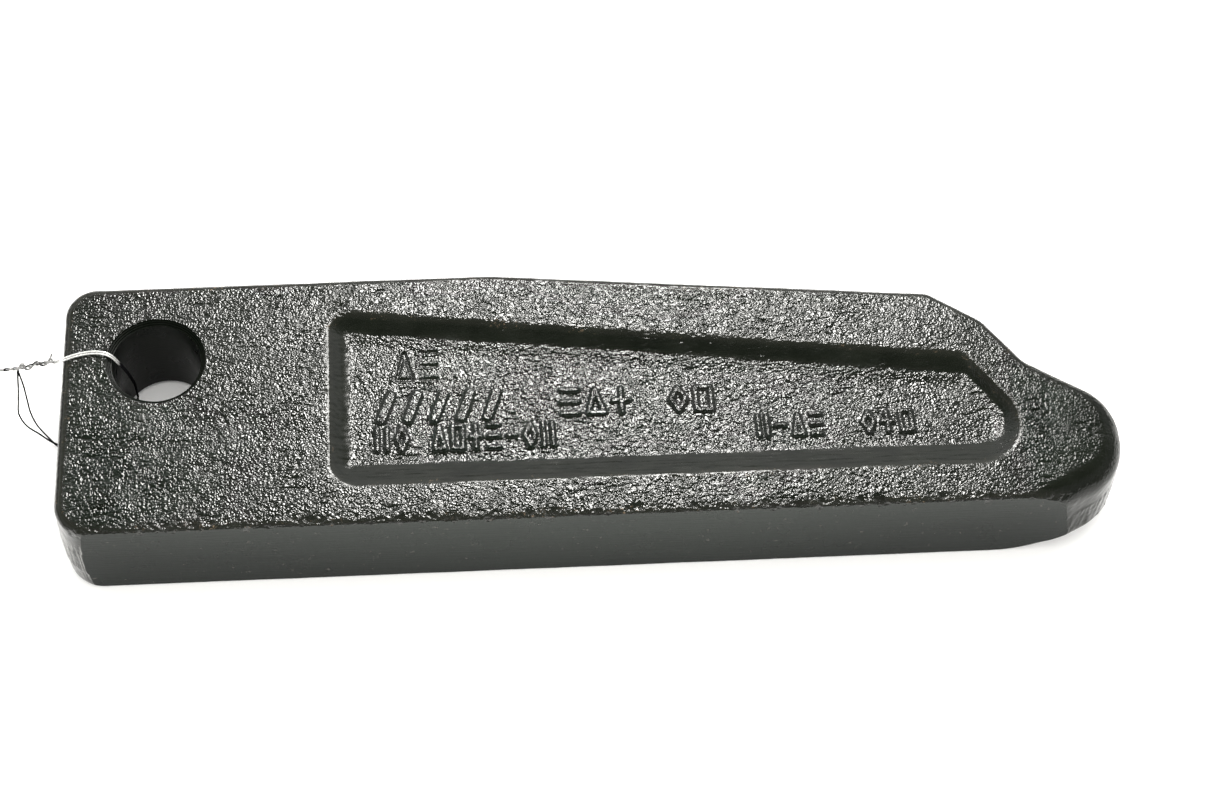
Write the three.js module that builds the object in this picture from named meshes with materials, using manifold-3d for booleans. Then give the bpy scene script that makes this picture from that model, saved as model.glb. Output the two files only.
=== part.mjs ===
// Locking bar of a truck's fifth-wheel coupling: a flat drop forging with a bored pivot eye, one
// machined long face, a shallow recessed panel and a beaked nose, with the tie wire that its tag
// hung on looped through the eye.
//
// Drawing axes, in millimetres: x runs from the eye end to the nose, y from the machined face to
// the far edge, and z up from the face that the bar lies on.
import * as THREE from 'three';
import { mergeVertices } from 'three/addons/utils/BufferGeometryUtils.js';
import Module from 'manifold-3d';

const wasm = await Module();
wasm.setup();

// ---------------------------------------------------------------- driving dimensions
const THICKNESS = 32;
const LENGTH = 291;
const ALLOWANCE = 0.8; // forged stock in front of the machined face
const LAND = { bottom: 9, top: 19.3 }; // heights of the trimmed flash land around the forging
const EYE = { x: 25.5, y: 51.9, radius: 12, topChamfer: 1.5, lowChamfer: 0.6 };
const EYE_RELIEF = { radius: 30, depth: 1 }; // turned thrust face around the eye, on the underside
const PANEL_DEPTH = 2.8;
const MARK = { height: 0.65, root: 0.5 }; // raised signs, and how far they reach below the floor
const STAMP = { depth: 0.4, width: 0.9 };
const STROKE_OVERRUN = 0.8; // how far a sign's strokes run past their ends, in stroke widths
const OVERCUT = 1; // how far a cutter reaches beyond the face it cuts
const ROUND_SIDES = 72; // flats around the eye's bore and its relief
const WIRE = { radius: 0.22, sides: 8, gap: 0.3 };
const TWIST_RADIUS = 0.6;
const TAG_LOOP_RADIUS = 2.8;

// A die wall: its draft as a slope, how far the foot of the flash land stands proud of its head,
// and the radius of the wall's upper and lower edge.
const SIDE = { draft: 0.03, proud: 0, topEdge: 2.2, bottomEdge: 2 };
const FLANK = { draft: 0.05, proud: 0.6, topEdge: 3.4, bottomEdge: 3 };
const TIP = { draft: 0.08, proud: 1, topEdge: 6.5, bottomEdge: 3 };

// Corners of the forging at the foot of its flash land, each with its radius and the wall that
// leaves it.
const FORGING = [
  { x: 0, y: -ALLOWANCE, radius: 10.5, wall: SIDE },
  { x: 273.2, y: -ALLOWANCE, radius: 14, wall: TIP },
  { x: LENGTH, y: 7.6, radius: 19, wall: TIP },
  { x: LENGTH, y: 29, radius: 15, wall: FLANK },
  { x: 263.3, y: 46.9, radius: 8, wall: SIDE },
  { x: 255.8, y: 57.6, radius: 6, wall: SIDE },
  { x: 241.3, y: 67.5, radius: 5, wall: SIDE },
  { x: 116.5, y: 77.8, radius: 60, wall: SIDE },
  { x: 0, y: 76.5, radius: 9, wall: SIDE },
];

// Corners of the recessed panel at the top face. run is the width of the sloping wall that
// leaves the corner.
const PANEL = [
  { x: 71.3, y: 10.7, radius: 8, run: 9 },
  { x: 273.6, y: 10.7, radius: 13.8, run: 7 },
  { x: 248.7, y: 46.9, radius: 3.2, run: 11 },
  { x: 71.3, y: 67.1, radius: 7, run: 7.4 },
];
// The panel wall's section: [share of its run, share of the panel's depth], from rim to floor.
const PANEL_SECTION = [[0, 0], [0.1, 0.09], [0.3, 0.36], [0.53, 0.7], [0.62, 0.77], [0.82, 0.93], [1, 1]];

// Plain signs, each a list of open or closed strokes in a unit cell.
const SIGNS = {
  square: [[[0, 0], [1, 0], [1, 1], [0, 1], [0, 0]]],
  diamond: [[[0.5, 0], [1, 0.5], [0.5, 1], [0, 0.5], [0.5, 0]]],
  triangle: [[[0, 0], [1, 0], [0.5, 1], [0, 0]]],
  plus: [[[0, 0.5], [1, 0.5]], [[0.5, 0], [0.5, 1]]],
  pair: [[[0.05, 0], [0.05, 1]], [[0.95, 0], [0.95, 1]]],
  rungs: [[[0, 0], [1, 0]], [[0, 0.5], [1, 0.5]], [[0, 1], [1, 1]]],
  slash: [[[0.2, 0], [0.8, 1]]],
  dash: [[[0.1, 0.5], [0.9, 0.5]]],
};

// Rows of raised signs on the panel's floor: where the row starts, the size of a sign, the pitch
// from one sign to the next, and the stroke's width.
const SIGN_ROWS = [
  {
    x: 85, y: 32.3, w: 4.6, h: 7.6, pitch: 7.2, stroke: 2.6,
    signs: ['slash', 'slash', 'slash', 'slash', 'slash'],
  },
  { x: 84.6, y: 22.7, w: 2.9, h: 7, pitch: 5.3, stroke: 1.2, signs: ['pair', 'diamond'] },
  {
    x: 100.1, y: 22.7, w: 2.7, h: 7, pitch: 4.9, stroke: 1.2,
    signs: ['triangle', 'square', 'plus', 'rungs', 'dash', 'diamond', 'pair'],
  },
  { x: 135.1, y: 32.4, w: 4.4, h: 7.4, pitch: 7.1, stroke: 1.3, signs: ['rungs', 'triangle', 'plus'] },
  { x: 165.1, y: 32.2, w: 4.2, h: 7.2, pitch: 7, stroke: 1.3, signs: ['diamond', 'square'] },
  {
    x: 188.4, y: 23.4, w: 2.6, h: 6.2, pitch: 4.9, stroke: 1.2,
    signs: ['pair', 'dash', 'triangle', 'rungs'],
  },
  { x: 217.5, y: 23.4, w: 3, h: 6.2, pitch: 5.3, stroke: 1.2, signs: ['diamond', 'plus', 'square'] },
];
// Two signs punched into the floor with a hand stamp.
const STAMP_ROW = {
  x: 90.4, y: 45, w: 4.4, h: 8.6, pitch: 6.6, stroke: STAMP.width, signs: ['triangle', 'rungs'],
};

// ---------------------------------------------------------------- outlines and lofts
const ARC_STEP = 0.16; // largest turn between two points of a corner, in radians
const LEAST_RADIUS = 0.6; // of a corner that its walls' insets have used up

// The outline with each wall moved in by its own inset, and each corner rounded. A corner has
// the same number of points whatever the insets are, so rings made from one outline loft.
function roundedOutline(corners, insets) {
  const count = corners.length;
  const walls = corners.map((corner, i) => {
    const next = corners[(i + 1) % count];
    const along = new THREE.Vector2(next.x - corner.x, next.y - corner.y).normalize();
    const inward = new THREE.Vector2(-along.y, along.x);
    const start = new THREE.Vector2(corner.x, corner.y).addScaledVector(inward, insets[i]);
    return { along, inward, start };
  });
  const ring = [];
  for (let i = 0; i < count; i += 1) {
    const before = walls[(i + count - 1) % count];
    const after = walls[i];
    const turn = before.along.cross(after.along);
    const angle = Math.asin(THREE.MathUtils.clamp(turn, -1, 1));
    const fullAngle = before.along.dot(after.along) < 0 ? Math.sign(angle) * Math.PI - angle : angle;
    const gap = after.start.clone().sub(before.start);
    const corner = before.start.clone().addScaledVector(before.along, gap.cross(after.along) / turn);
    const meanInset = (insets[i] + insets[(i + count - 1) % count]) / 2;
    const side = Math.sign(turn);
    const radius = Math.max(corners[i].radius - side * meanInset, LEAST_RADIUS);
    const back = radius * Math.tan(Math.abs(fullAngle) / 2);
    const centre = corner.clone().addScaledVector(before.along, -back)
      .addScaledVector(before.inward, side * radius);
    const first = before.inward.clone().multiplyScalar(-side * radius);
    const steps = Math.max(2, Math.ceil(Math.abs(fullAngle) / ARC_STEP));
    for (let k = 0; k <= steps; k += 1) {
      const spoke = first.clone().rotateAround(new THREE.Vector2(), (fullAngle * k) / steps);
      ring.push(spoke.add(centre));
    }
  }
  return ring;
}

// A closed solid through stacked rings of equal length, each { z, points }, lowest first.
function loft(rings) {
  const size = rings[0].points.length;
  const positions = rings.flatMap(({ z, points }) => points.flatMap((p) => [p.x, p.y, z]));
  const index = [];
  for (let level = 0; level + 1 < rings.length; level += 1) {
    for (let i = 0; i < size; i += 1) {
      const a = level * size + i;
      const b = level * size + ((i + 1) % size);
      index.push(a, b, b + size, a, b + size, a + size);
    }
  }
  const top = (rings.length - 1) * size;
  for (const [a, b, c] of THREE.ShapeUtils.triangulateShape(rings.at(-1).points, [])) {
    index.push(top + a, top + b, top + c);
  }
  for (const [a, b, c] of THREE.ShapeUtils.triangulateShape(rings[0].points, [])) {
    index.push(c, b, a);
  }
  const geometry = new THREE.BufferGeometry();
  geometry.setAttribute('position', new THREE.Float32BufferAttribute(positions, 3));
  geometry.setIndex(index);
  return geometry;
}

// ---------------------------------------------------------------- booleans
function toSolid(geometry) {
  const bare = geometry.clone();
  bare.deleteAttribute('normal');
  bare.deleteAttribute('uv');
  const merged = mergeVertices(bare, 1e-4);
  const vertProperties = new Float32Array(merged.attributes.position.array);
  const triVerts = new Uint32Array(merged.index.array);
  return new wasm.Manifold(new wasm.Mesh({ numProp: 3, vertProperties, triVerts }));
}

function toGeometry(solid) {
  const mesh = solid.getMesh();
  const geometry = new THREE.BufferGeometry();
  geometry.setAttribute('position', new THREE.BufferAttribute(mesh.vertProperties, 3));
  geometry.setIndex(new THREE.BufferAttribute(mesh.triVerts, 1));
  const faceted = geometry.toNonIndexed();
  faceted.computeVertexNormals();
  return faceted;
}

// ---------------------------------------------------------------- the forging
function edgeInset(radius, rise) {
  return rise > 0 ? radius - Math.sqrt(Math.max(radius ** 2 - rise ** 2, 0)) : 0;
}

// How far a die wall stands in, at a height, from the foot of the flash land.
function wallInset(wall, z) {
  const draft = wall.draft * Math.max(LAND.bottom - z, z - LAND.top, 0);
  const rise = THREE.MathUtils.clamp((z - LAND.bottom) / (LAND.top - LAND.bottom), 0, 1);
  const top = edgeInset(wall.topEdge, z - (THICKNESS - wall.topEdge));
  const bottom = edgeInset(wall.bottomEdge, wall.bottomEdge - z);
  return draft + wall.proud * rise + top + bottom;
}

function makeForging() {
  const lowEdge = [0, 0.1, 0.4, 0.9, 1.7, TIP.bottomEdge];
  const highEdge = [TIP.topEdge, 4.8, FLANK.topEdge, SIDE.topEdge, 1.4, 0.8, 0.35, 0.1, 0];
  const levels = [...lowEdge, LAND.bottom, LAND.top, ...highEdge.map((below) => THICKNESS - below)];
  return loft(levels.map((z) => ({
    z,
    points: roundedOutline(FORGING, FORGING.map((corner) => wallInset(corner.wall, z))),
  })));
}

function makePanelCutter() {
  const ring = (share, z) => ({
    z,
    points: roundedOutline(PANEL, PANEL.map((corner) => corner.run * share)),
  });
  const rings = PANEL_SECTION.map(([share, depth]) => ring(share, THICKNESS - PANEL_DEPTH * depth));
  return loft([...rings.reverse(), ring(0, THICKNESS + OVERCUT)]);
}

// Everything in front of the machined face.
function makeFaceCutter() {
  const depth = 2 * OVERCUT;
  return new THREE.BoxGeometry(LENGTH + 2 * OVERCUT, depth, THICKNESS + 2 * OVERCUT)
    .translate(LENGTH / 2, -depth / 2, THICKNESS / 2);
}

// The eye's bore, with a chamfer at the top face and another at the relieved thrust face.
function makeBoreCutter() {
  const { radius, topChamfer, lowChamfer } = EYE;
  const low = EYE_RELIEF.depth;
  const profile = [
    [0, -OVERCUT], [radius + lowChamfer, -OVERCUT], [radius + lowChamfer, low],
    [radius, low + lowChamfer], [radius, THICKNESS - topChamfer],
    [radius + topChamfer, THICKNESS], [radius + topChamfer, THICKNESS + OVERCUT],
    [0, THICKNESS + OVERCUT],
  ].map(([r, z]) => new THREE.Vector2(r, z));
  return new THREE.LatheGeometry(profile, ROUND_SIDES).rotateX(Math.PI / 2).translate(EYE.x, EYE.y, 0);
}

function makeReliefCutter() {
  const { radius, depth } = EYE_RELIEF;
  return new THREE.CylinderGeometry(radius, radius, depth + OVERCUT, ROUND_SIDES)
    .rotateX(Math.PI / 2).translate(EYE.x, EYE.y, (depth - OVERCUT) / 2);
}

// One stroke of a sign: a low bar from a to b, between two heights.
function makeStroke(a, b, width, low, high) {
  const length = a.distanceTo(b) + width * STROKE_OVERRUN;
  const middle = a.clone().add(b).multiplyScalar(0.5);
  return new THREE.BoxGeometry(length, width, high - low)
    .rotateZ(Math.atan2(b.y - a.y, b.x - a.x))
    .translate(middle.x, middle.y, (low + high) / 2);
}

function makeSignRow(row, low, high) {
  return row.signs.flatMap((sign, i) => SIGNS[sign].flatMap((line) => {
    const points = line.map(([u, v]) => (
      new THREE.Vector2(row.x + i * row.pitch + u * row.w, row.y + v * row.h)));
    return points.slice(1).map((end, k) => makeStroke(points[k], end, row.stroke, low, high));
  }));
}

function makeLockingBar() {
  const floor = THICKNESS - PANEL_DEPTH;
  const raised = SIGN_ROWS.flatMap((row) => makeSignRow(row, floor - MARK.root, floor + MARK.height));
  const punched = makeSignRow(STAMP_ROW, floor - STAMP.depth, floor + OVERCUT);
  const cutters = [makePanelCutter(), makeFaceCutter(), makeBoreCutter(), makeReliefCutter()];
  let solid = toSolid(makeForging());
  for (const cutter of cutters) {
    solid = solid.subtract(toSolid(cutter));
  }
  for (const stroke of raised) {
    solid = solid.add(toSolid(stroke));
  }
  for (const stroke of punched) {
    solid = solid.subtract(toSolid(stroke));
  }
  return toGeometry(solid);
}

// ---------------------------------------------------------------- the tie wire
// The wire is doubled. Its two legs lie side by side over the eye, drop through the bore, pass
// under the thrust face and come back up beside the eye end, where they end under the twist.
const LEG_OFFSET = 0.38; // half the distance between the two legs' centrelines

const OVER_AND_THROUGH = [
  [0.1, 52.5, 32.6], [4.2, 54, 32.7], [8.6, 54.7, 32.75], [12.4, 54.3, 32.7], [14.9, 53.4, 32],
  [16.2, 53.3, 29.6], [17.1, 53.7, 25], [17.6, 54.4, 19], [17.6, 55.6, 13], [17.2, 57, 6.5],
  [16.8, 57.9, 2.2], [15.2, 57.1, 0.55], [10, 52.6, 0.45], [4.5, 47.5, 0.45], [0.6, 44.4, 0.6],
];
const RETURN_NEAR = [
  [-2.4, 42.9, 1], [-5, 43.7, 1.6], [-7.8, 46.2, 3], [-10.2, 48.4, 5.4], [-11.4, 50, 9.5],
  [-11.6, 51.3, 15], [-11.7, 52.4, 20.5], [-12, 52.9, 26.7],
];
const RETURN_FAR = [
  [-2.6, 43.8, 0.8], [-6.4, 45.1, 1.2], [-10.2, 47.5, 2.2], [-13.4, 49.2, 4], [-14.7, 50.6, 8],
  [-14.2, 51.5, 13], [-13.5, 51.9, 19], [-12.9, 52.9, 26.2],
];
const TWIST = [
  [-0.9, 52.3, 32.4], [-4.4, 52.9, 31.2], [-8.4, 53, 29.7], [-12.4, 53.1, 28.3],
  [-16.6, 53.6, 26.9], [-20, 54, 25.8],
];

function wireTube(points, radius, steps) {
  const curve = new THREE.CatmullRomCurve3(points.map(([x, y, z]) => new THREE.Vector3(x, y, z)));
  const section = new THREE.Shape();
  for (let i = 0; i < WIRE.sides; i += 1) {
    const angle = (i / WIRE.sides) * 2 * Math.PI;
    const [u, v] = [radius * Math.cos(angle), radius * Math.sin(angle)];
    if (i === 0) {
      section.moveTo(u, v);
    } else {
      section.lineTo(u, v);
    }
  }
  section.closePath();
  return new THREE.ExtrudeGeometry(section, { steps, extrudePath: curve, bevelEnabled: false });
}

function makeLeg(returning, side) {
  const shared = OVER_AND_THROUGH.map(([x, y, z]) => [x, y + side * LEG_OFFSET, z]);
  return wireTube([...shared, ...returning], WIRE.radius, 32);
}

// The closed loop at the tag's end of the twist, lying level with it.
function makeTagLoop() {
  const [x, y, z] = TWIST.at(-1);
  const profile = [];
  for (let i = 0; i <= WIRE.sides; i += 1) {
    const angle = (i / WIRE.sides) * 2 * Math.PI;
    const r = TAG_LOOP_RADIUS + WIRE.radius * Math.cos(angle);
    profile.push(new THREE.Vector2(r, WIRE.radius * Math.sin(angle)));
  }
  const reach = TAG_LOOP_RADIUS + WIRE.radius + 2 * WIRE.gap;
  return new THREE.LatheGeometry(profile, 24).rotateX(Math.PI / 2).translate(x - reach, y, z);
}

// ---------------------------------------------------------------- the assembly
const paintedSteel = new THREE.MeshStandardMaterial({
  name: 'black_painted_forging', color: 0x2c2d2b, roughness: 0.42, metalness: 0.35,
});
const galvanisedWire = new THREE.MeshStandardMaterial({
  name: 'galvanised_wire', color: 0xc4c6c8, roughness: 0.28, metalness: 1,
});

function named(name, geometry, material) {
  const mesh = new THREE.Mesh(geometry, material.clone());
  mesh.name = name;
  return mesh;
}

const lockingBar = named('locking_bar', makeLockingBar(), paintedSteel);
const drawing = new THREE.Group();
drawing.add(lockingBar);
drawing.add(named('tie_wire_leg_near', makeLeg(RETURN_NEAR, -1), galvanisedWire));
drawing.add(named('tie_wire_leg_far', makeLeg(RETURN_FAR, 1), galvanisedWire));
drawing.add(named('tie_wire_twist', wireTube(TWIST, TWIST_RADIUS, 14), galvanisedWire));
drawing.add(named('tie_wire_tag_loop', makeTagLoop(), galvanisedWire));

// The part's origin is at the middle of the bar's underside.
const box = new THREE.Box3().setFromObject(lockingBar);
const middle = box.getCenter(new THREE.Vector3());
drawing.position.set(-middle.x, -middle.y, -box.min.z);

const part = new THREE.Group();
part.add(drawing);

export default part;
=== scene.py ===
"""The looks of a drop-forged locking bar with a tie wire through its eye.

Lengths in the object's sections are millimetres on the drawing's axes: x from the eye end to the
nose, y from the machined face to the far edge, z up from the underside. to_row() turns them into
metres in the row frame, where the bar's lowest corner is the drawing's zero.
"""
import math

import bmesh
import bpy
import numpy as np
from mathutils import Matrix, Vector


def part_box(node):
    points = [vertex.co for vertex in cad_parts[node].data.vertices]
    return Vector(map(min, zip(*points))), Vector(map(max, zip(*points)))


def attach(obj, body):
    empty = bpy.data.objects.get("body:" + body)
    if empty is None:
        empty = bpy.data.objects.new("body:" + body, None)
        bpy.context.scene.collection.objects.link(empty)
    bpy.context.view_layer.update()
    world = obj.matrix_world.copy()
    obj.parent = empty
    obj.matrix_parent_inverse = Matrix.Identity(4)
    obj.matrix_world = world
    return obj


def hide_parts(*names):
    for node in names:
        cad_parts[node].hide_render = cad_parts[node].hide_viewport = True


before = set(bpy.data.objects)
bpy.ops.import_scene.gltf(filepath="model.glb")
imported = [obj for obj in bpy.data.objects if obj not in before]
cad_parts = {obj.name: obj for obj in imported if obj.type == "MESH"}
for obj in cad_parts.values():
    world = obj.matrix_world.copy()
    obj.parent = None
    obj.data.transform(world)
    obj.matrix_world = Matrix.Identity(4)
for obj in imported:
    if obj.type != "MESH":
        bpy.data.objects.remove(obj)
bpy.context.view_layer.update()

MM = 0.001
BAR_LOW, BAR_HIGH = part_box("locking_bar")
LENGTH, _, THICKNESS = (BAR_HIGH - BAR_LOW) / MM

# ------------------------------------------------------------------ the bar's dimensions
ALLOWANCE = 0.8  # forged stock in front of the machined face
LAND_BOTTOM, LAND_TOP = 9.0, 19.3  # the trimmed flash land around the forging
EYE_X, EYE_Y, EYE_RADIUS = 25.5, 51.9, 12.0
TOP_CHAMFER, LOW_CHAMFER = 1.4, 0.6
NOSE_CORNER = 273.2  # where the machined face runs out
UNDERCUT, UNDERCUT_HEIGHT = 6.0, 9.0  # the rounding of its lower edge there
RELIEF_RADIUS, RELIEF_DEPTH = 30.0, 1.0  # turned thrust face around the eye, on the underside
VOXEL = 0.6  # the skin's mesh size, which is halved on the top face
OVERCUT = 1.0  # how far cutters reach past the faces they open

# A die wall: draft slope, how proud the flash land's foot is, upper and lower edge radius.
SIDE = dict(draft=0.03, proud=0.0, top_edge=2.2, low_edge=2.0)
NEAR = dict(draft=0.03, proud=0.0, top_edge=1.7, low_edge=2.0)
FLANK = dict(draft=0.05, proud=0.6, top_edge=3.4, low_edge=3.0)
TIP = dict(draft=0.08, proud=1.0, top_edge=6.5, low_edge=3.0)

# Corners at the foot of the flash land: x, y, corner radius, and the wall that leaves it.
FORGING = [
    (0.0, -ALLOWANCE, 10.5, NEAR),
    (NOSE_CORNER, -ALLOWANCE, 14.0, TIP),
    (LENGTH, 7.6, 19.0, TIP),
    (LENGTH, 29.0, 15.0, FLANK),
    (263.3, 46.9, 8.0, SIDE),
    (255.8, 57.6, 6.0, SIDE),
    (241.3, 67.5, 5.0, SIDE),
    (116.5, 77.8, 60.0, SIDE),
    (0.0, 76.5, 9.0, SIDE),
]

# The recessed panel's corners at the top face: x, y, corner radius. Its walls go, in this order,
# along the near side, up the slanted nose end, along the far side and down the eye end.
PANEL_LEAST_RADIUS = 2.2
PANEL = [(71.3, 10.7, 8.0), (273.6, 10.7, 13.8), (248.7, 46.9, 3.2), (71.3, 67.1, 7.0)]
# Its section from rim to floor: the drop, and how far in from the rim each of those walls is then.
# The far wall and the slanted one have a narrow shelf and a second, low slope.
PANEL_SECTION = [
    (0.0, 0.0, 0.0, 0.0, 0.0),
    (0.06, 0.5, 0.4, 0.5, 0.5),
    (0.25, 1.1, 0.8, 1.0, 1.1),
    (1.0, 3.1, 1.7, 2.8, 2.3),
    (1.9, 5.6, 2.8, 4.6, 3.9),
    (2.2, 6.4, 3.2, 5.3, 4.7),
    (2.34, 6.9, 3.6, 5.7, 5.1),
    (2.44, 7.2, 4.9, 7.1, 5.5),
    (2.72, 8.2, 7.0, 9.2, 6.7),
    (2.8, 9.1, 8.4, 10.6, 7.5),
]
PANEL_DEPTH = PANEL_SECTION[-1][0]

# Plain signs, each a list of strokes in a unit cell.
SIGNS = {
    "square": [[(0, 0), (1, 0), (1, 1), (0, 1), (0, 0)]],
    "diamond": [[(0.5, 0), (1, 0.5), (0.5, 1), (0, 0.5), (0.5, 0)]],
    "triangle": [[(0, 0), (1, 0), (0.5, 1), (0, 0)]],
    "plus": [[(0, 0.5), (1, 0.5)], [(0.5, 0), (0.5, 1)]],
    "pair": [[(0.05, 0), (0.05, 1)], [(0.95, 0), (0.95, 1)]],
    "rungs": [[(0, 0), (1, 0)], [(0, 0.5), (1, 0.5)], [(0, 1), (1, 1)]],
    "slash": [[(0.2, 0), (0.8, 1)]],
    "dash": [[(0.1, 0.5), (0.9, 0.5)]],
}
# Rows of raised signs on the panel's floor: x, y, sign width and height, pitch, stroke width.
SIGN_ROWS = [
    (85.0, 32.3, 4.6, 7.6, 7.2, 2.6, ["slash"] * 5),
    (84.6, 22.7, 2.9, 7.0, 5.3, 1.2, ["pair", "diamond"]),
    (100.1, 22.7, 2.7, 7.0, 4.9, 1.2,
     ["triangle", "square", "plus", "rungs", "dash", "diamond", "pair"]),
    (135.1, 32.4, 4.4, 7.4, 7.1, 1.3, ["rungs", "triangle", "plus"]),
    (165.1, 32.2, 4.2, 7.2, 7.0, 1.3, ["diamond", "square"]),
    (188.4, 23.4, 2.6, 6.2, 4.9, 1.2, ["pair", "dash", "triangle", "rungs"]),
    (217.5, 23.4, 3.0, 6.2, 5.3, 1.2, ["diamond", "plus", "square"]),
]
SIGN_HEIGHT = 0.65
# Two signs punched into the floor with a hand stamp.
STAMP_ROW = (90.4, 45.0, 4.4, 8.6, 6.6, 0.7, ["triangle", "rungs"])
STAMP_DEPTH = 0.42


def to_row(points):
    """Drawing millimetres to metres in the row frame."""
    return np.asarray(points, float) * MM + np.array(BAR_LOW)


def to_drawing(points):
    """Metres in the row frame back to drawing millimetres."""
    return (np.asarray(points, float) - np.array(BAR_LOW)) / MM


def smoothstep(low, high, value):
    """0 below low, 1 above high and a smooth rise between."""
    t = np.clip((value - low) / (high - low), 0, 1)
    return t * t * (3 - 2 * t)


# ------------------------------------------------------------------ noise
GRADIENT_SEED = 7
SEED_SHIFT = 17.37  # how far apart, in cells, one seed's noise is from the next one's
random_source = np.random.default_rng(GRADIENT_SEED)
PERMUTATION = np.tile(random_source.permutation(256), 2)
GRADIENTS = random_source.normal(size=(256, 3))
GRADIENTS /= np.linalg.norm(GRADIENTS, axis=1)[:, None]


def gradient_noise(points):
    """Perlin noise, about -1 to 1, at an array of points whose unit is the noise's cell."""
    cell = np.floor(points).astype(int)
    part = points - cell
    fade = part**3 * (part * (part * 6 - 15) + 10)
    total = np.zeros(len(points))
    for corner in np.ndindex(2, 2, 2):
        at = (cell + corner) % 256
        index = PERMUTATION[PERMUTATION[PERMUTATION[at[:, 0]] + at[:, 1]] + at[:, 2]]
        slope = (GRADIENTS[index] * (part - corner)).sum(1)
        weight = np.prod(np.where(corner, fade, 1 - fade), axis=1)
        total += weight * slope
    return total * 1.6


def grain(points, size, seed):
    """Noise with cells of that size in millimetres, or of three sizes along x, y and z."""
    return gradient_noise(points / np.asarray(size, float) + seed * SEED_SHIFT)


def layered(points, layers):
    """The sum of layers of noise, each given as its height, cell size and seed."""
    return sum(height * grain(points, size, seed) for height, size, seed in layers)


# ------------------------------------------------------------------ outlines and lofts
def smooth_line(points, step=0.3):
    """A Catmull-Rom curve through given points, sampled about every step."""
    points = np.asarray(points, float)
    ends = np.vstack([2 * points[0] - points[1], points, 2 * points[-1] - points[-2]])
    line = []
    for p0, p1, p2, p3 in zip(ends, ends[1:], ends[2:], ends[3:]):
        count = max(2, int(np.linalg.norm(p2 - p1) / step))
        for t in np.arange(count) / count:
            line.append(0.5 * (2 * p1 + (p2 - p0) * t + (2 * p0 - 5 * p1 + 4 * p2 - p3) * t**2
                               + (3 * p1 - p0 - 3 * p2 + p3) * t**3))
    return np.array([*line, points[-1]])


def rounded_outline(corners, insets, arc_step=0.05, least=0.6):
    """The closed outline with each wall moved in by its own inset and each corner rounded, by at
    least the least radius. It has the same number of points whatever the insets are."""
    count = len(corners)
    base = np.array([c[:2] for c in corners], float)
    along = np.roll(base, -1, axis=0) - base
    along /= np.linalg.norm(along, axis=1)[:, None]
    inward = np.stack([-along[:, 1], along[:, 0]], axis=1)
    start = base + inward * np.asarray(insets)[:, None]
    ring = []
    for i in range(count):
        a, b = i - 1, i
        turn = along[a, 0] * along[b, 1] - along[a, 1] * along[b, 0]
        angle = math.atan2(turn, along[a] @ along[b])
        gap = start[b] - start[a]
        reach = (gap[0] * along[b, 1] - gap[1] * along[b, 0]) / turn
        corner = start[a] + along[a] * reach
        side = math.copysign(1, turn)
        radius = max(corners[i][2] - side * (insets[a] + insets[b]) / 2, least)
        back = radius * math.tan(abs(angle) / 2)
        centre = corner - along[a] * back + inward[a] * side * radius
        spoke = -inward[a] * side * radius
        steps = max(2, math.ceil(abs(angle) / arc_step))
        for k in range(steps + 1):
            c, s = math.cos(angle * k / steps), math.sin(angle * k / steps)
            ring.append(centre + (c * spoke[0] - s * spoke[1], s * spoke[0] + c * spoke[1]))
    return np.array(ring)


def mesh_object(name, points, faces):
    """A Blender mesh object from row-frame points."""
    mesh = bpy.data.meshes.new(name)
    mesh.from_pydata([tuple(p) for p in points], [], faces)
    mesh.update()
    made = bpy.data.objects.new(name, mesh)
    bpy.context.scene.collection.objects.link(made)
    return made


def loft(name, rings):
    """A closed solid through stacked rings of (height, outline), lowest first."""
    size = len(rings[0][1])
    points = np.vstack([np.c_[outline, np.full(size, z)] for z, outline in rings])
    faces = [list(range(size))[::-1]]
    for level in range(len(rings) - 1):
        low, high = level * size, (level + 1) * size
        for i in range(size):
            j = (i + 1) % size
            faces.append([low + i, low + j, high + j, high + i])
    faces.append([(len(rings) - 1) * size + i for i in range(size)])
    return mesh_object(name, to_row(points), faces)


def lathe(name, profile, x, y, segments=256):
    """A closed solid of revolution about the upright axis at x, y from (radius, z) pairs, which
    start and end on the axis."""
    inner = profile[1:-1]
    points = []
    for k in range(segments):
        angle = 2 * math.pi * k / segments
        points += [(x + r * math.cos(angle), y + r * math.sin(angle), z) for r, z in inner]
    low, high = len(points), len(points) + 1
    points += [(x, y, profile[0][1]), (x, y, profile[-1][1])]
    rows, faces = len(inner), []
    for k in range(segments):
        a, b = k * rows, (k + 1) % segments * rows
        faces.append([low, b, a])
        faces.append([high, a + rows - 1, b + rows - 1])
        faces += [[a + i, b + i, b + i + 1, a + i + 1] for i in range(rows - 1)]
    return mesh_object(name, to_row(points), faces)


# ------------------------------------------------------------------ modifiers on meshes
def use_modifier(obj, kind, **settings):
    """Adds a modifier and bakes it into the mesh."""
    modifier = obj.modifiers.new(kind.lower(), kind)
    for key, value in settings.items():
        setattr(modifier, key, value)
    graph = bpy.context.evaluated_depsgraph_get()
    result = bpy.data.meshes.new_from_object(obj.evaluated_get(graph))
    obj.modifiers.clear()
    old, obj.data = obj.data, result
    bpy.data.meshes.remove(old)


def cut(obj, cutter):
    """Subtracts a cutter, which is then removed."""
    use_modifier(obj, "BOOLEAN", operation="DIFFERENCE", solver="MANIFOLD", object=cutter)
    mesh = cutter.data
    bpy.data.objects.remove(cutter)
    bpy.data.meshes.remove(mesh)


def read_points(mesh):
    flat = np.empty(len(mesh.vertices) * 3, np.float32)
    mesh.vertices.foreach_get("co", flat)
    return to_drawing(flat.reshape(-1, 3))


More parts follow.
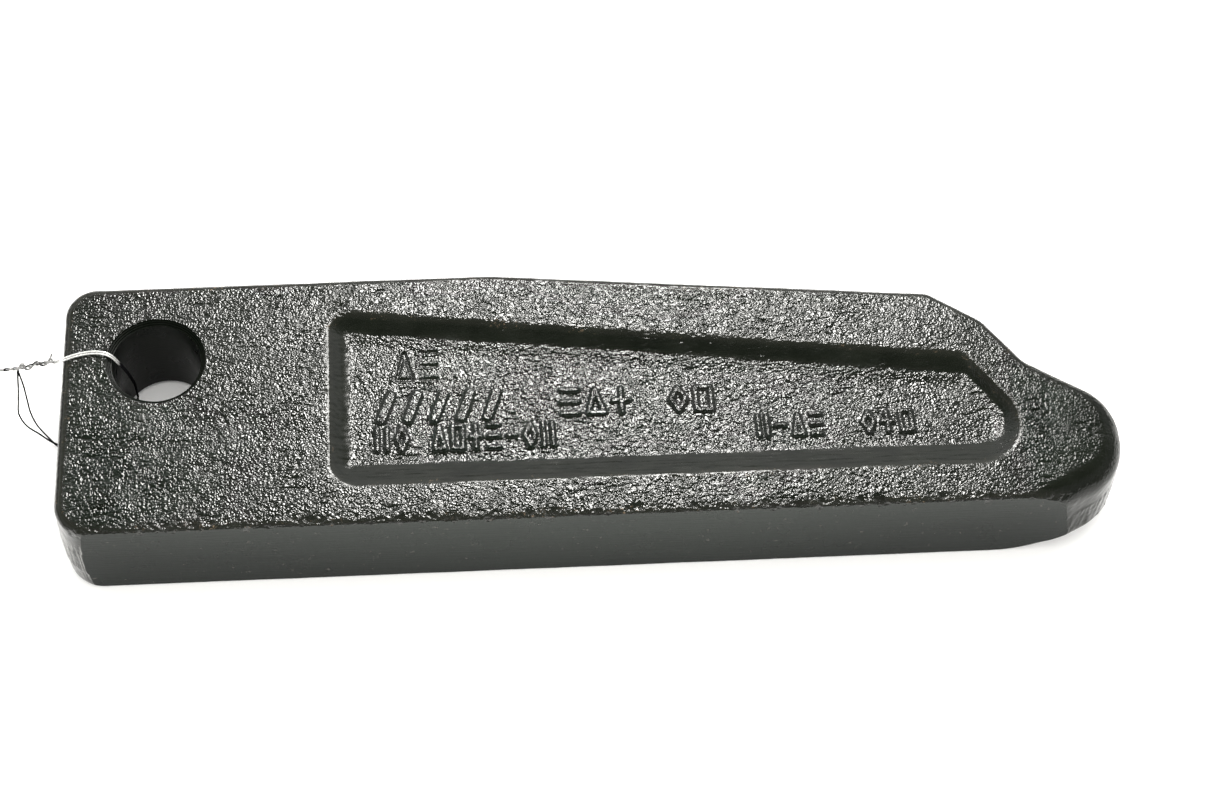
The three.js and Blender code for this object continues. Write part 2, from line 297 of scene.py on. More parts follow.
def read_normals(mesh):
    flat = np.empty(len(mesh.vertices) * 3, np.float32)
    mesh.vertices.foreach_get("normal", flat)
    return flat.reshape(-1, 3).astype(float)


def write_points(mesh, points):
    mesh.vertices.foreach_set("co", to_row(points).astype(np.float32).ravel())
    mesh.update()


def read_values(mesh, name):
    values = np.empty(len(mesh.vertices), np.float32)
    mesh.attributes[name].data.foreach_get("value", values)
    return values


def add_values(mesh, name, values):
    layer = mesh.attributes.new(name, "FLOAT", "POINT")
    layer.data.foreach_set("value", np.asarray(values, np.float32))


# ------------------------------------------------------------------ the raw forging
def edge_inset(radius, rise):
    """How far a rounded edge has turned inwards at that rise above its start."""
    return radius - math.sqrt(max(radius**2 - rise**2, 0)) if rise > 0 else 0.0


def wall_inset(wall, z):
    """How far a die wall stands in, at a height, from the foot of the flash land."""
    draft = wall["draft"] * max(LAND_BOTTOM - z, z - LAND_TOP, 0)
    rise = min(max((z - LAND_BOTTOM) / (LAND_TOP - LAND_BOTTOM), 0), 1)
    top = edge_inset(wall["top_edge"], z - (THICKNESS - wall["top_edge"]))
    low = edge_inset(wall["low_edge"], wall["low_edge"] - z)
    return draft + wall["proud"] * rise + top + low


def quarter_heights(radius, steps=9):
    """Heights below a face, at even turns of a quarter-round edge of that radius."""
    return [radius * (1 - math.sin(math.pi / 2 * k / steps)) for k in range(steps + 1)]


def raw_forging():
    """The smooth blank, with an outline at each height where a wall or an edge turns."""
    heights = {LAND_BOTTOM, LAND_TOP}
    for wall in (SIDE, NEAR, FLANK, TIP):
        heights |= {THICKNESS - h for h in quarter_heights(wall["top_edge"])}
        heights |= set(quarter_heights(wall["low_edge"]))
    return loft("forged_bar", [
        (z, rounded_outline(FORGING, [wall_inset(corner[3], z) for corner in FORGING]))
        for z in sorted(heights)
    ])


def panel_outline(insets):
    return rounded_outline(PANEL, insets, least=PANEL_LEAST_RADIUS)


def panel_cutter():
    """The recess, and a little above the top face so that it cuts cleanly."""
    section = smooth_line(PANEL_SECTION[::-1], 0.25)
    rings = [(THICKNESS - row[0], panel_outline(row[1:])) for row in section]
    return loft("panel_cutter", [*rings, (THICKNESS + OVERCUT, panel_outline([0] * 4))])


def sign_strokes(row):
    """The two ends of each stroke in a row of signs."""
    x, y, width, height, pitch, _, names = row
    strokes = []
    for i, name in enumerate(names):
        for line in SIGNS[name]:
            at = [(x + i * pitch + u * width, y + v * height) for u, v in line]
            strokes += list(zip(at, at[1:]))
    return strokes


def stroke_distance(points, row):
    """How far each point is, in plan, from the nearest stroke of a row."""
    best = np.full(len(points), 99.0)
    for start, end in sign_strokes(row):
        a, d = np.array(start), np.subtract(end, start)
        t = np.clip(((points[:, :2] - a) @ d) / (d @ d), 0, 1)
        best = np.minimum(best, np.linalg.norm(points[:, :2] - a - t[:, None] * d, axis=1))
    return best


def near_signs(points, margin=1.5):
    """Which points lie on the panel's floor within a margin of a row of signs."""
    found = np.zeros(len(points), bool)
    for x, y, width, height, pitch, _, names in [*SIGN_ROWS, STAMP_ROW]:
        long = (len(names) - 1) * pitch + width
        found |= ((np.abs(points[:, 0] - x - long / 2) < long / 2 + margin)
                  & (np.abs(points[:, 1] - y - height / 2) < height / 2 + margin))
    return found & (points[:, 2] > THICKNESS - PANEL_DEPTH - 0.3)


def refine_top(obj):
    """Splits the faces of the top and of the panel, so that the grain and signs have room."""
    work = bmesh.new()
    work.from_mesh(obj.data)
    fine = read_points(obj.data)[:, 2] > THICKNESS - PANEL_DEPTH - 0.5
    work.verts.ensure_lookup_table()
    edges = [e for e in work.edges if fine[e.verts[0].index] and fine[e.verts[1].index]]
    bmesh.ops.subdivide_edges(work, edges=edges, cuts=1, use_grid_fill=True)
    work.to_mesh(obj.data)
    work.free()
    obj.data.update()


# Layers of unevenness on the as-forged skin: height in millimetres, cell size, seed.
LUMPS = [(0.15, 14, 1), (0.07, 6, 2), (0.02, 3.2, 18)]
PITS = [(0.052, 0.62, 5), (0.034, 1.05, 6)]
DIE_WALL_MARKS = [(0.04, (2.6, 2.6, 4), 10), (0.055, (9, 0.9, 0.9), 19), (0.014, 0.8, 22)]


def flash_streaks(points):
    """Upright shear marks, 0 to 1, on the trimmed flash land."""
    band = smoothstep(LAND_BOTTOM - 1, LAND_BOTTOM + 0.6, points[:, 2])
    band *= 1 - smoothstep(LAND_TOP - 0.6, LAND_TOP + 0.8, points[:, 2])
    ridges = np.abs(grain(points, (1.1, 1.1, 30), 3)) + 0.5 * np.abs(grain(points, (0.6, 0.6, 22), 4))
    return band * ridges


def furrow(points, size, seed, width):
    """Narrow valleys, 0 to 1, along the noise's zero lines."""
    return 1 - smoothstep(0, width, np.abs(grain(points, size, seed)))


def forged_grain(points):
    """Pits, furrows and folds of the level faces, which are coarser and run along the bar in its
    middle."""
    warped = points + 0.5 * grain(points, 2.5, 16)[:, None]
    middle = smoothstep(80, 125, points[:, 0]) * (1 - smoothstep(215, 245, points[:, 0]))
    short = furrow(warped, 1.25, 7, 0.22)
    long = furrow(warped, (3.0, 1.0, 1.0), 17, 0.17)
    long = np.maximum(long, 0.7 * furrow(warped, (1.7, 0.9, 0.9), 21, 0.17))
    folds = furrow(points, (8.0, 2.4, 3), 8, 0.08) * smoothstep(-0.05, 0.35, grain(points, 9, 9))
    furrows = 0.07 * short + middle * (0.18 * long - 0.07 * short)
    return (1 - 0.08 * middle) * layered(warped, PITS) - furrows - 0.25 * folds


def skin_relief(points, mesh):
    """How far the as-forged skin stands out of or into its ideal surface, in millimetres."""
    level = read_values(mesh, "rough")
    lumps = layered(points, LUMPS) * (0.35 + 0.65 * level)
    walls = layered(points, DIE_WALL_MARKS) + 0.35 * flash_streaks(points)
    return lumps + forged_grain(points) * level + walls * (1 - level)


def nose_undercut(points):
    """How far the near wall's foot is drawn in, where the machined face runs out at the nose."""
    along = np.clip((points[:, 0] - NOSE_CORNER) / 26 + 1, 0, 1) ** 4
    low = np.clip(1 - points[:, 2] / UNDERCUT_HEIGHT, 0, 1) ** 2
    near = 1 - smoothstep(4, 14, points[:, 1])
    return UNDERCUT * along * low * near


def front_edge(points):
    """1 along the raw edge above the machined face."""
    near = 1 - smoothstep(0.6, 3.2, points[:, 1])
    return near * smoothstep(THICKNESS - 4.5, THICKNESS - 1.5, points[:, 2])


def front_edge_damage(points):
    """Chips knocked out of the raw edge above the machined face."""
    chips = np.clip(grain(points, (3.1, 4, 4), 12) - 0.15, 0, 1)
    dents = np.clip(grain(points, 1.3, 13) - 0.1, 0, 1)
    return front_edge(points) * (1.1 * chips + 0.7 * dents)


def sign_relief(points):
    """Height of the raised and punched signs on the panel's floor, and how far the grain is kept
    where it would blur their edges."""
    height, calm = np.zeros(len(points)), np.ones(len(points))
    close = np.flatnonzero(near_signs(points))
    at = points[close]
    ragged = 0.12 * grain(at, 1.3, 14)
    raised = np.zeros(len(at))
    for row in SIGN_ROWS:
        half = row[5] / 2
        distance = stroke_distance(at, row) + ragged
        raised = np.maximum(raised, 1 - smoothstep(half - 0.2, half + 0.35, distance))
        calm[close] = np.minimum(calm[close], 0.35 + 0.65 * smoothstep(half + 0.3, half + 1.2, distance))
    punched = stroke_distance(at, STAMP_ROW)
    lip = 0.1 * np.exp(-(((punched - 0.85) / 0.3) ** 2))
    height[close] = SIGN_HEIGHT * raised + lip
    height[close] -= STAMP_DEPTH * (1 - smoothstep(0.15, 0.6, punched))
    calm[close] = np.minimum(calm[close], 0.35 + 0.65 * smoothstep(0.8, 1.6, punched))
    return height, calm


def make_bar():
    """The forging before it is machined, with its skin, signs and damage."""
    bar = raw_forging()
    cut(bar, panel_cutter())
    use_modifier(bar, "REMESH", mode="VOXEL", voxel_size=VOXEL * MM, adaptivity=0.0)
    refine_top(bar)
    points, normals = read_points(bar.data), read_normals(bar.data)
    mark_skin(bar.data, points, normals)
    signs, calm = sign_relief(points)
    relief = skin_relief(points, bar.data) * calm - front_edge_damage(points)
    points += normals * relief[:, None]
    points[:, 1] += nose_undercut(points)
    points[:, 2] += signs
    points[:, 2] = np.maximum(points[:, 2], 0)
    write_points(bar.data, points)
    return bar


# ------------------------------------------------------------------ machining
def face_cutter():
    """A block in front of the machined face, a little larger than the forging all round."""
    spare = 10
    left, right = -spare, LENGTH + spare
    plan = ((left, -spare), (right, -spare), (right, 0), (left, 0))
    corners = [(x, y, z) for z in (-spare, THICKNESS + spare) for x, y in plan]
    faces = [[3, 2, 1, 0], [4, 5, 6, 7], [0, 1, 5, 4], [1, 2, 6, 5], [2, 3, 7, 6], [3, 0, 4, 7]]
    return mesh_object("face_cutter", to_row(corners), faces)


def chamfer_profile(radius, low, size, grooves=3):
    """A chamfer that opens upwards, with the fine steps that a turning tool leaves."""
    profile = []
    for k in range(grooves):
        u, v = k / grooves, (k + 0.7) / grooves
        profile += [(radius + u * size, low + u * size), (radius + v * size, low + u * size + 0.06)]
    return [*profile, (radius + size, low + size)]


def bore_cutter():
    """The bore, from the thrust face up, with its lower and upper chamfers."""
    low, top = RELIEF_DEPTH, THICKNESS - TOP_CHAMFER
    wide = EYE_RADIUS + TOP_CHAMFER
    narrow = EYE_RADIUS + LOW_CHAMFER
    above, below = THICKNESS + OVERCUT, -OVERCUT
    profile = [(0, below), (narrow, below), (narrow, low), (EYE_RADIUS, low + LOW_CHAMFER),
               *chamfer_profile(EYE_RADIUS, top, TOP_CHAMFER), (wide, above), (0, above)]
    return lathe("bore_cutter", profile, EYE_X, EYE_Y)


def relief_cutter():
    """The shallow turned thrust face on the underside."""
    profile = [(0, -OVERCUT), (RELIEF_RADIUS, -OVERCUT), (RELIEF_RADIUS, RELIEF_DEPTH),
               (0, RELIEF_DEPTH)]
    return lathe("relief_cutter", profile, EYE_X, EYE_Y)


# ------------------------------------------------------------------ materials
class Nodes:
    """A node tree built up by short calls, with its own texture coordinates."""

    def __init__(self, tree, space):
        self.tree = tree
        self.place = self.node("ShaderNodeTexCoord").outputs[space]

    def node(self, kind, **values):
        made = self.tree.nodes.new(kind)
        for key, value in values.items():
            if hasattr(made, key):
                setattr(made, key, value)
            else:
                self.feed(made.inputs[key], value)
        return made

    def feed(self, socket, value):
        if isinstance(value, bpy.types.NodeSocket):
            self.tree.links.new(value, socket)
        else:
            socket.default_value = value

    def coordinate(self, axis):
        """One coordinate: metres on an object's own axes, or the world's direction."""
        return self.node("ShaderNodeSeparateXYZ", Vector=self.place).outputs[axis]

    def remap(self, value, low, high, to_low, to_high):
        ranged = self.node("ShaderNodeMapRange")
        for socket, content in zip(ranged.inputs, (value, low, high, to_low, to_high)):
            self.feed(socket, content)
        return ranged.outputs["Result"]

    def math(self, operation, a, b):
        made = self.node("ShaderNodeMath", operation=operation)
        self.feed(made.inputs[0], a)
        self.feed(made.inputs[1], b)
        return made.outputs["Value"]


class Shader(Nodes):
    """A material's nodes, which end in its one surface shader."""

    def __init__(self, name):
        self.material = bpy.data.materials.new(name)
        self.material.use_nodes = True
        super().__init__(self.material.node_tree, "Object")
        self.surface = self.tree.nodes["Principled BSDF"]

    def noise(self, size, detail=3.0, roughness=0.6, stretch=(1, 1, 1)):
        """Noise with features of that size in metres, stretched along the axes."""
        scale = self.node("ShaderNodeMapping", Vector=self.place)
        scale.inputs["Scale"].default_value = [1 / (size * s) for s in stretch]
        noise = self.node("ShaderNodeTexNoise", Vector=scale.outputs["Vector"], Scale=1.0,
                          Detail=detail, Roughness=roughness)
        return noise.outputs["Fac"]

    def attribute(self, name):
        return self.node("ShaderNodeAttribute", attribute_name=name).outputs["Fac"]

    def mix(self, factor, a, b):
        made = self.node("ShaderNodeMix", data_type="RGBA")
        self.feed(made.inputs["Factor"], factor)
        self.feed(made.inputs[6], a)
        self.feed(made.inputs[7], b)
        return made.outputs[2]

    def bump(self, height, distance):
        made = self.node("ShaderNodeBump")
        self.feed(made.inputs["Height"], height)
        made.inputs["Distance"].default_value = distance
        return made.outputs["Normal"]

    def set(self, **values):
        for key, value in values.items():
            self.feed(self.surface.inputs[key.replace("_", " ").title().replace("Ior", "IOR")], value)


PAINT = (0.0036, 0.0046, 0.0031, 1)
THIN_PAINT = (0.0065, 0.0078, 0.0056, 1)
RUST = (0.13, 0.095, 0.062, 1)
BARE = (0.17, 0.168, 0.16, 1)
DUST = (0.022, 0.0225, 0.018, 1)
WORN = (0.045, 0.043, 0.037, 1)
# Painted shade on the machined face: its colour runs from the darker low tone at the bottom to the
# lighter high tone at the top.
MACHINED_SHADED_LOW = (0.0015, 0.0036, 0.002, 1)
MACHINED_LIT_HIGH = (0.0125, 0.0165, 0.013, 1)
BORE_DARK = (0.002, 0.003, 0.002, 1)
BORE_PALE = (0.004, 0.0048, 0.0036, 1)
# Painted light on the wire: a dark, shaded copy and a bright, lit copy of the same wire.
WIRE_SHADED = (0.008, 0.008, 0.009, 1)
WIRE_LIT = (0.78, 0.78, 0.76, 1)


def skin_material():
    """Black paint over the coarse as-forged skin, with rust flecks along the edges."""
    shader = Shader("forged_skin_paint")
    rough = shader.attribute("rough")
    edge = shader.attribute("edge")
    speck = shader.noise(0.0012, detail=4, roughness=0.7)
    patch = shader.noise(0.011, detail=2)
    dull = shader.noise(0.007, detail=3)
    fleck = shader.math("MULTIPLY", shader.remap(speck, 0.6, 0.66, 0, 1), edge)
    fleck = shader.math("MULTIPLY", fleck, shader.remap(patch, 0.5, 0.62, 0, 1))
    tone = shader.mix(shader.remap(patch, 0.35, 0.7, 0, 1), PAINT, THIN_PAINT)
    worn = shader.mix(shader.math("MULTIPLY", edge, 0.14), tone, WORN)
    fine = shader.noise(0.00072, detail=0)
    creased = shader.math("ABSOLUTE", shader.math("SUBTRACT", fine, 0.5), 0.0)
    depth = shader.remap(rough, 0, 1, 0.1, 1)
    normal = shader.bump(shader.math("MULTIPLY", creased, depth), 0.00027)
    scrape = shader.noise(0.0007, detail=2, stretch=(1, 1, 40))
    scraped = shader.math("MULTIPLY", shader.remap(scrape, 0.49, 0.6, 0, 1), shader.attribute("scraped"))
    streak = shader.noise(0.0008, detail=3, stretch=(10, 1, 1))
    smooth = shader.remap(rough, 0, 0.6, 0.22, 0)
    dusty = shader.math("MULTIPLY", shader.remap(streak, 0.42, 0.66, 0, 1), smooth)
    worn = shader.mix(dusty, worn, DUST)
    coloured = shader.mix(scraped, shader.mix(fleck, worn, RUST), BARE)
    shader.set(base_color=coloured, normal=normal,
               roughness=shader.remap(dull, 0.35, 0.7, 0.14, 0.28))
    nose = shader.remap(shader.coordinate("X"), 0.1, 0.142, 1, 0.32)
    gloss = shader.math("MULTIPLY", shader.remap(rough, 0, 1, 0.25, 0.5), nose)
    shader.feed(shader.surface.inputs["Specular IOR Level"], gloss)
    return shader.material


def machined_material():
    """Thin satin paint over the milled and ground long face, with painted shade: darker towards its
    bottom edge and its two ends, and less glossy towards its bottom.
    """
    shader = Shader("machined_face_paint")
    brushed = shader.noise(0.0004, detail=3, stretch=(40, 1, 1))
    cloud = shader.noise(0.02, detail=3)
    spot = shader.noise(0.0016, detail=2)
    lines = shader.noise(0.0007, detail=2, stretch=(60, 1, 1))
    height = shader.remap(shader.coordinate("Z"), 0, THICKNESS * MM, 0, 1)
    far_out = shader.math("ABSOLUTE", shader.coordinate("X"), 0.0)
    # Painted shade: the tone falls towards the face's two ends, and with the height towards its bottom
    # edge.
    ends = shader.remap(far_out, 0.03, 0.14, 0.1, -0.6)
    lines_and_shade = shader.math("ADD", height, shader.remap(lines, 0.3, 0.7, -0.15, 0.15))
    lines_and_shade = shader.math("MAXIMUM", shader.math("ADD", lines_and_shade, ends), 0.0)
    tone = shader.mix(lines_and_shade, MACHINED_SHADED_LOW, MACHINED_LIT_HIGH)
    stained_and_shaded = shader.mix(shader.remap(spot, 0.68, 0.74, 0, 1), tone, WORN)
    shader.set(base_color=stained_and_shaded, normal=shader.bump(brushed, 0.00003),
               specular_ior_level=shader.remap(height, 0, 1, 0.08, 0.17),
               roughness=shader.remap(cloud, 0.3, 0.7, 0.22, 0.3))
    return shader.material


def bore_material():
    """Paint drifted into the turned bore, dead black on its chamfer."""
    shader = Shader("bore_paint")
    rings = shader.noise(0.0005, detail=2, stretch=(60, 60, 1))
    cloud = shader.noise(0.006, detail=2)
    tone = shader.mix(shader.remap(cloud, 0.3, 0.7, 0, 1), BORE_DARK, BORE_PALE)
    lip = (THICKNESS - TOP_CHAMFER) * MM
    gloss = shader.remap(shader.coordinate("Z"), lip - 0.0002, lip + 0.0002, 0.07, 0.03)
    shader.set(base_color=tone, normal=shader.bump(rings, 0.00002), specular_ior_level=gloss,
               roughness=shader.remap(cloud, 0.3, 0.7, 0.25, 0.35))
    return shader.material


def wire_material():
    """Tinned wire with painted light: bright and partly metallic where it lies over the bar and in
    patches along the twist, as painted highlights, and dark, as painted shade, all the way down its
    return."""
    shader = Shader("tinned_tie_wire")
    frost = shader.noise(0.0009, detail=3)
    patch = shader.noise(0.0014, detail=1)
    along, height = shader.coordinate("X"), shader.coordinate("Z")
    # Painted highlight: the wire is made bright over the bar and in patches along the twist, and painted
    # dark, as shade, elsewhere.
    over_bar = shader.remap(height, 0.0285, 0.0305, 0, 1)
    over_bar = shader.math("MULTIPLY", over_bar, shader.remap(along, BAR_LOW.x - 0.002, BAR_LOW.x, 0, 1))
    slanted = shader.math("SUBTRACT", height, shader.math("MULTIPLY", along, 0.3))
    twist = shader.remap(slanted, 0.0307 - 0.3 * BAR_LOW.x, 0.0314 - 0.3 * BAR_LOW.x, 0, 1)
    twist = shader.math("MULTIPLY", twist, shader.remap(patch, 0.38, 0.55, 0, 0.4))
    painted_lit = shader.math("MAXIMUM", over_bar, twist)
    shader.set(base_color=shader.mix(painted_lit, WIRE_SHADED, WIRE_LIT),
               metallic=shader.math("MULTIPLY", painted_lit, 0.5),
               specular_ior_level=shader.remap(painted_lit, 0, 1, 0, 0.5),
               roughness=shader.remap(frost, 0.3, 0.7, 0.22, 0.34),
               normal=shader.bump(frost, 0.00002))
    return shader.material


# ------------------------------------------------------------------ the finished bar
SKIN, MACHINED, BORE = range(3)


def outline_distance(points, outline):
    """How far points are, in plan, from a closed outline."""
    best = np.full(len(points), 99.0)
    for a, b in zip(outline, np.roll(outline, -1, axis=0)):
        d = b - a
        if d @ d < 1e-9:
            continue
        t = np.clip(((points[:, :2] - a) @ d) / (d @ d), 0, 1)
        best = np.minimum(best, np.linalg.norm(points[:, :2] - a - t[:, None] * d, axis=1))
    return best


def on_top(points, depth, depth_full):
    """1 near the top face, fading out between two depths below it."""
    return smoothstep(THICKNESS - depth, THICKNESS - depth_full, points[:, 2])


def edge_wear(points):
    """1 along the forging's upper edges and a little less along the panel's rim, and how far
    points are, in plan, from that rim."""
    outer = outline_distance(points, rounded_outline(FORGING, [1.0] * len(FORGING), 0.3))
    rim = outline_distance(points, rounded_outline(PANEL, [0.5] * len(PANEL), 0.3))
    worn = np.maximum(1 - smoothstep(0.5, 3, outer), 0.7 * (1 - smoothstep(0.4, 2, rim)))
    return worn * on_top(points, 3.5, 1.5), rim


def coarseness(points, normals, rim):
    """1 on the level faces, which are coarse, down to 0 on the smooth steep walls."""
    ragged = 0.004 * grain(points, (3.5, 1.4, 1.4), 20)
    level = smoothstep(0.988, 0.998, np.abs(normals[:, 2]) + ragged)
    # The panel's floor stays coarse up its low slopes.
    low_slope = 1 - smoothstep(THICKNESS - 2.4, THICKNESS - 2.3, points[:, 2])
    low_slope *= smoothstep(0.97, 0.985, normals[:, 2] + ragged)
    level = np.maximum(level, 0.85 * low_slope)
    # The panel's far wall and its slanted one are coarser than its other two walls.
    facing = smoothstep(0.05, 0.25, np.maximum(-normals[:, 0], -normals[:, 1]))
    grainy = 0.48 * facing * (1 - smoothstep(6, 9, rim)) * on_top(points, 3.5, 1.5)
    nose = 0.5 * smoothstep(255, 270, points[:, 0]) * on_top(points, 7, 4)
    return np.maximum.reduce([level, grainy, 0.8 * front_edge(points), nose])


def scraped_corner(points):
    """1 where bare metal shows at the corner between the eye end and the machined face."""
    corner = 1 - smoothstep(5, 9, np.hypot(points[:, 0] - 5, points[:, 1] - 3))
    return corner * smoothstep(2, 6, points[:, 2]) * (1 - smoothstep(20, 27, points[:, 2]))


def mark_skin(mesh, points, normals):
    """Keeps where the skin is coarse, worn or scraped as values on the mesh's points."""
    edge, rim = edge_wear(points)
    add_values(mesh, "edge", edge)
    add_values(mesh, "rough", coarseness(points, normals, rim))
    add_values(mesh, "scraped", scraped_corner(points))


def give_finishes(mesh):
    """Tells the machined face, the bore and the turned relief from the forged skin."""
    flat = np.empty(len(mesh.polygons) * 3, np.float32)
    mesh.polygons.foreach_get("center", flat)
    middle = to_drawing(flat.reshape(-1, 3))
    from_axis = np.hypot(middle[:, 0] - EYE_X, middle[:, 1] - EYE_Y)
    turned = from_axis < EYE_RADIUS + TOP_CHAMFER + 0.01
    turned |= (from_axis < RELIEF_RADIUS + 0.01) & (middle[:, 2] < RELIEF_DEPTH + 0.01)
    finish = np.where(middle[:, 1] < 0.005, MACHINED, np.where(turned, BORE, SKIN))
    mesh.materials.clear()
    for make in (skin_material, machined_material, bore_material):
        mesh.materials.append(make())
    mesh.polygons.foreach_set("material_index", finish.astype(np.int32))


def sharpen(mesh):
    """Crisp edges where two finishes meet and at the machined corners; the rest is smooth."""
    mesh.shade_smooth()
    work = bmesh.new()
    work.from_mesh(mesh)
    for face in work.faces:
        face.smooth = face.material_index != MACHINED
    for edge in work.edges:
        finishes = [face.material_index for face in edge.link_faces]
        if len(finishes) == 2 and (finishes[0] != finishes[1]
                                   or (finishes[0] != SKIN and edge.calc_face_angle() > 0.35)):
            edge.smooth = False
    work.to_mesh(mesh)
    work.free()


def build_bar():
    """The forging, machined along its near side and around its eye."""
    bar = make_bar()
    for cutter in (face_cutter(), relief_cutter(), bore_cutter()):
        cut(bar, cutter)
    give_finishes(bar.data)
    sharpen(bar.data)
    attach(bar, "root")
    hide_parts("locking_bar")


# ------------------------------------------------------------------ the tie wire
WIRE_DIAMETER = 0.48
LEG_OFFSET = 0.36  # half the distance between the two legs' centrelines

OVER_AND_THROUGH = [
    (0.1, 52.5, 32.6), (4.2, 54, 32.7), (8.4, 54.7, 32.75), (11.6, 54.4, 32.6), (13.6, 53.8, 31.8),
    (14.9, 53.4, 29.6), (16.4, 53.6, 25), (17.4, 54.3, 19), (17.6, 55.6, 13), (17.2, 57, 6.5),
    (16.8, 57.9, 2.2), (15.2, 57.1, 0.55), (10, 52.6, 0.45), (4.5, 47.5, 0.45), (0.6, 44.4, 0.6),
]
RETURN_NEAR = [
    (-2.4, 42.9, 1), (-5, 43.7, 1.6), (-7.8, 46.2, 3), (-10.2, 48.4, 5.4), (-11.4, 50, 9.5),
    (-11.6, 51.3, 15), (-11.7, 52.4, 20.5), (-12, 52.9, 26.7),
]
RETURN_FAR = [
    (-2.6, 43.8, 0.8), (-6.4, 45.1, 1.2), (-10.2, 47.5, 2.2), (-13.4, 49.2, 4), (-14.9, 50.6, 8),
    (-14.3, 51.5, 13), (-13.3, 51.9, 19), (-12.3, 52.9, 26.2),
]
TWIST = [
    (-0.9, 52.3, 32.4), (-4.4, 52.9, 31.2), (-8.4, 53, 29.7), (-12.4, 53.1, 28.3),
    (-16.6, 53.6, 26.9), (-20, 54, 25.8),
]
TWIST_PITCH, TWIST_RADIUS = 4.6, 0.27
WRAP_PITCH, WRAP_RADIUS = 4.1, 0.72
TAG_LOOP_RADIUS = 2.8


def around_twist(start_x, end_x, pitch, radius, phase, step=0.22):
    """A helix around the twist's centreline between two places along x. radius is a number, or
    a function of the helix's angle."""
    core = smooth_line(TWIST, 0.1)
    order = np.argsort(core[:, 0])
    count = int(abs(end_x - start_x) / pitch * 2 * math.pi / step) + 2
    line = []
    for x in np.linspace(start_x, end_x, count):
        y, z = (np.interp(x, core[order, 0], core[order, k]) for k in (1, 2))
        angle = phase + 2 * math.pi * abs(x - start_x) / pitch
        r = radius(angle) if callable(radius) else radius
        line.append((x, y + r * math.cos(angle), z + r * math.sin(angle)))
    return np.array(line)


def loose(angle):
    """The wraps stand off the twist a little more on some turns than on others."""
    return WRAP_RADIUS + 0.75 * max(0.0, math.sin(0.5 * angle + 0.6)) ** 4


def leg(returning, side):
    """One leg of the wire, from the tag's loop to its cut end."""
    phase = math.pi if side < 0 else 0.0
    twisted = around_twist(TWIST[0][0], TWIST[-1][0], TWIST_PITCH, TWIST_RADIUS, phase)[::-1]
    shared = [(x, y + side * LEG_OFFSET, z) for x, y, z in OVER_AND_THROUGH]
    free = smooth_line([*shared, *returning])
    foot = returning[-1][0]
    wraps = around_twist(foot, foot + 9.4, WRAP_PITCH, loose, -math.pi / 2)
    last = wraps[-1]
    tail = [last + (0.5, 0.5 * side, 0.7), last + (0.6, 1.1 * side, 1.2)]
    return np.vstack([twisted, free[1:-1], wraps[1:], tail])


def tag_loop(start, end):
    """The round fold that the tag hung on, from one leg's end to the other's."""
    x, y, z = TWIST[-1]
    sweep = np.linspace(0.18, 2 * math.pi - 0.18, 30)
    reach = TAG_LOOP_RADIUS
    ring = [(x - reach + reach * math.cos(a), y - reach * math.sin(a), z) for a in sweep]
    if np.linalg.norm(np.subtract(ring[0], start)) > np.linalg.norm(np.subtract(ring[-1], start)):
        ring = ring[::-1]
    return np.array(ring)


def build_wire():
    """One wire, doubled: from one cut end round the tag's loop to the other."""
    near, far = leg(RETURN_NEAR, -1), leg(RETURN_FAR, 1)
    route = np.vstack([near[::-1], tag_loop(near[0], far[0]), far])
    line = to_row(smooth_line(route, 0.25))
    curve = bpy.data.curves.new("tie_wire", "CURVE")
    curve.dimensions = "3D"
    curve.bevel_depth = WIRE_DIAMETER / 2 * MM
    curve.bevel_resolution = 3
    curve.use_fill_caps = True
    spline = curve.splines.new("POLY")
    spline.points.add(len(line) - 1)
    spline.points.foreach_set("co", np.c_[line, np.ones(len(line))].ravel())
    spline.use_smooth = True
    wire = bpy.data.objects.new("tie_wire", curve)
    bpy.context.scene.collection.objects.link(wire)
    curve.materials.append(wire_material())
    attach(wire, "root")
    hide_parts("tie_wire_leg_near", "tie_wire_leg_far", "tie_wire_twist",
                "tie_wire_tag_loop")


# ------------------------------------------------------------------ camera, floor and light
FLOOR_GAP = 0.00002  # metres between the floor and the bar's underside
LAMP_COLOUR = (1.0, 0.99, 0.955)


def build_camera():
    """Looks down on the bar from the front and a little to the left of its middle."""
    heading, elevation, roll = (math.radians(a) for a in (10.21, 59.35, 6.865))
    distance = 0.604
    target = (BAR_LOW + BAR_HIGH) / 2 + Vector((0.0034, 0.0038, 0))
    level = Vector((math.cos(heading), -math.sin(heading), 0))
    forward = Vector((math.cos(elevation) * math.sin(heading),
                      math.cos(elevation) * math.cos(heading), -math.sin(elevation)))
    upward = level.cross(forward)
    right = level * math.cos(roll) + upward * math.sin(roll)
    up = right.cross(forward)
    data = bpy.data.cameras.new("camera")
    data.sensor_fit = "HORIZONTAL"
    data.sensor_width = 36.0
    data.lens = 63.75
    data.clip_start, data.clip_end = 0.01, 50
    camera = bpy.data.objects.new("camera", data)
    turn = Matrix((right, up, -forward)).transposed()
    camera.matrix_world = Matrix.Translation(target - forward * distance) @ turn.to_4x4()
    bpy.context.scene.collection.objects.link(camera)
    bpy.context.scene.camera = camera


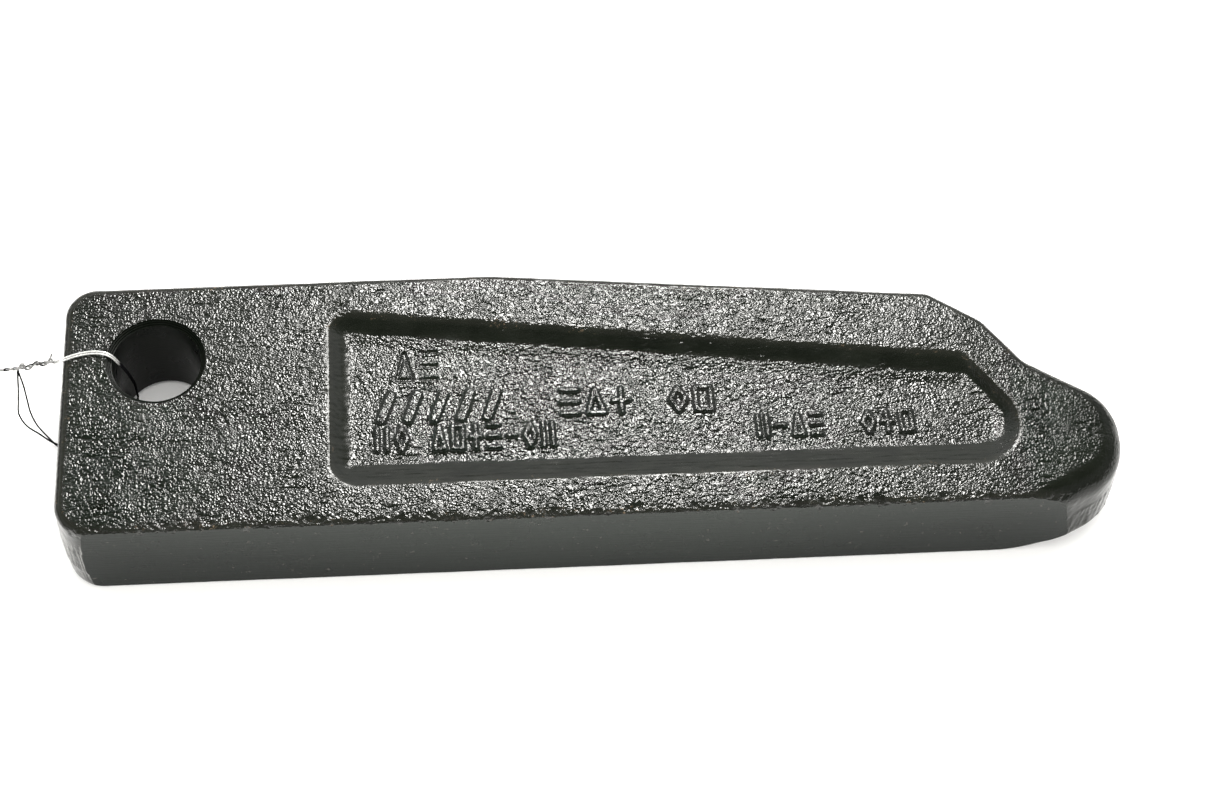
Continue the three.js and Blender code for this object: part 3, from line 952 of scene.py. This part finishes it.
def build_floor():
    """A plain pale sheet just under the bar, wide enough for any view."""
    size = 6.0
    corners = [(-size, -size, 0), (size, -size, 0), (size, size, 0), (-size, size, 0)]
    floor = mesh_object("floor", np.array(corners) - (0, 0, FLOOR_GAP), [[0, 1, 2, 3]])
    shader = Shader("pale_floor")
    shader.set(roughness=0.9, base_color=(0.9, 0.9, 0.9, 1))
    shader.surface.inputs["Specular IOR Level"].default_value = 0.0
    shader.surface.inputs["Emission Color"].default_value = (1, 1, 1, 1)
    shader.surface.inputs["Emission Strength"].default_value = 0.08
    floor.data.materials.append(shader.material)


def area_light(name, place, target, width, height, radiance, in_gloss=True):
    data = bpy.data.lights.new(name, "AREA")
    data.shape = "RECTANGLE"
    data.size, data.size_y = width, height
    data.energy = radiance * math.pi * width * height
    light = bpy.data.objects.new(name, data)
    light.location = place
    light.rotation_euler = (Vector(target) - Vector(place)).to_track_quat("-Z", "Y").to_euler()
    light.visible_glossy = in_gloss
    data.color = LAMP_COLOUR
    bpy.context.scene.collection.objects.link(light)


def build_lights():
    # The softbox stands a little behind where the top face's middle mirrors it to the camera.
    area_light("softbox", (0.086, 0.482, 0.7), (0, 0, 0.03), 0.23, 0.26, 51.0)
    area_light("overhead_fill", (0, 0, 1.5), (0, 0, 0), 1.6, 1.6, 3.5, in_gloss=False)
    area_light("front_fill", (-0.2, -1.2, 0.9), (0, 0, 0), 1.2, 1.0, 4.5, in_gloss=False)


def build_world():
    """A pale studio: bright a little above the horizon, dim overhead, and dimmer still on the
    camera's side, where only a low band is lit."""
    world = bpy.data.worlds.new("studio")
    bpy.context.scene.world = world
    world.use_nodes = True
    sky = Nodes(world.node_tree, "Generated")
    height = sky.coordinate("Z")
    rising = sky.remap(height, 0.14, 0.32, 0.11, 1)
    fading = sky.remap(height, 0.5, 0.8, 1, 0.06)
    behind = sky.remap(sky.coordinate("Y"), 0.08, 0.5, 0.12, 1)
    low_band = sky.remap(height, 0.5, 0.66, 0.5, 0.12)
    band = sky.math("MULTIPLY", rising, fading)
    grey = sky.math("MULTIPLY", band, sky.math("MAXIMUM", behind, low_band))
    background = sky.tree.nodes["Background"]
    sky.feed(background.inputs["Color"], grey)
    background.inputs["Strength"].default_value = 1.5


build_camera()
build_wire()
build_bar()
build_floor()
build_lights()
build_world()
bpy.context.scene.view_settings.view_transform = "Standard"
